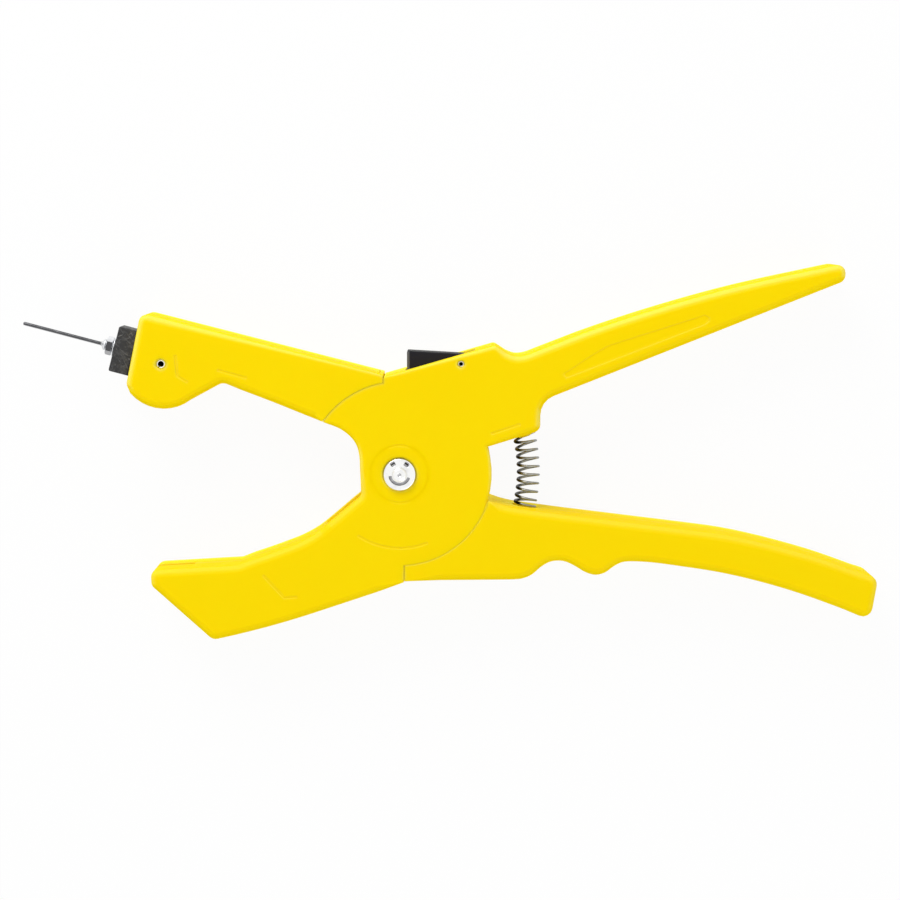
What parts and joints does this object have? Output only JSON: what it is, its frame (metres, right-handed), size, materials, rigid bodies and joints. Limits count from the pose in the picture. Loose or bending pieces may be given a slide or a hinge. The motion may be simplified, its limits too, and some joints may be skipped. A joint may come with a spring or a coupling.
{
  "type": "ear tag applicator",
  "caption": "Plier-type hand tool with two crossed levers, a needle on a swinging carrier at the upper jaw, a flat lower jaw, a coil return spring and a hub latch.",
  "frame": {"origin": "on the main pivot's axis, at the back face that the tool lies on", "axes": "+X from the pivot toward the handles, +Y across the tool toward the latch, +Z out of the front face along the pivot's axis"},
  "size_m": [0.2873, 0.1258, 0.0269],
  "materials": {
    "yellow_body": "smooth, slightly glossy yellow",
    "black_latch": "satin black",
    "grey_carrier": "satin dark grey",
    "bright_steel": "bright turned steel",
    "dark_steel": "dark plated steel",
    "spring_wire": "drawn wire, dull",
    "bronze": "plain bearing bronze"
  },
  "bodies": {
    "frame": {"frame_front_shell": "yellow_body", "frame_back_shell": "yellow_body", "frame_screw_jaw": "dark_steel", "frame_screw_neck": "dark_steel", "frame_screw_grip": "dark_steel", "pivot_pin": "bright_steel", "pivot_washer": "dark_steel", "pivot_clip": "bright_steel", "latch_pin": "bright_steel", "handle_spring": "spring_wire"},
    "lever": {"lever_front_shell": "yellow_body", "lever_back_shell": "yellow_body", "lever_screw_jaw": "dark_steel", "lever_screw_neck": "dark_steel", "lever_screw_grip": "dark_steel", "pivot_bush": "bronze", "thrust_washer_front": "bronze", "thrust_washer_back": "bronze", "carrier_pin": "bright_steel"},
    "carrier": {"needle_carrier": "grey_carrier", "needle": "bright_steel", "needle_washer": "bright_steel", "lock_nut": "bright_steel"},
    "latch": {"latch": "black_latch"}
  },
  "joints": [
    {"name": "lever_pivot", "type": "hinge", "parent": "frame", "child": "lever", "pos_m": [0, 0, 0.012], "axis": [0, 0, 1], "range_deg": [0, 18], "stiffness_Nm_per_rad": 2.7, "springref_deg": -9.17, "deforming": ["handle_spring"]},
    {"name": "carrier_swing", "type": "hinge", "parent": "lever", "child": "carrier", "pos_m": [-0.0793, 0.03685, 0.012], "axis": [0, 0, 1], "range_deg": [0, 100]},
    {"name": "latch_lift", "type": "hinge", "parent": "frame", "child": "latch", "pos_m": [0.0205, 0.03685, 0.012], "axis": [0, 0, -1], "range_deg": [0, 25]}
  ]
}
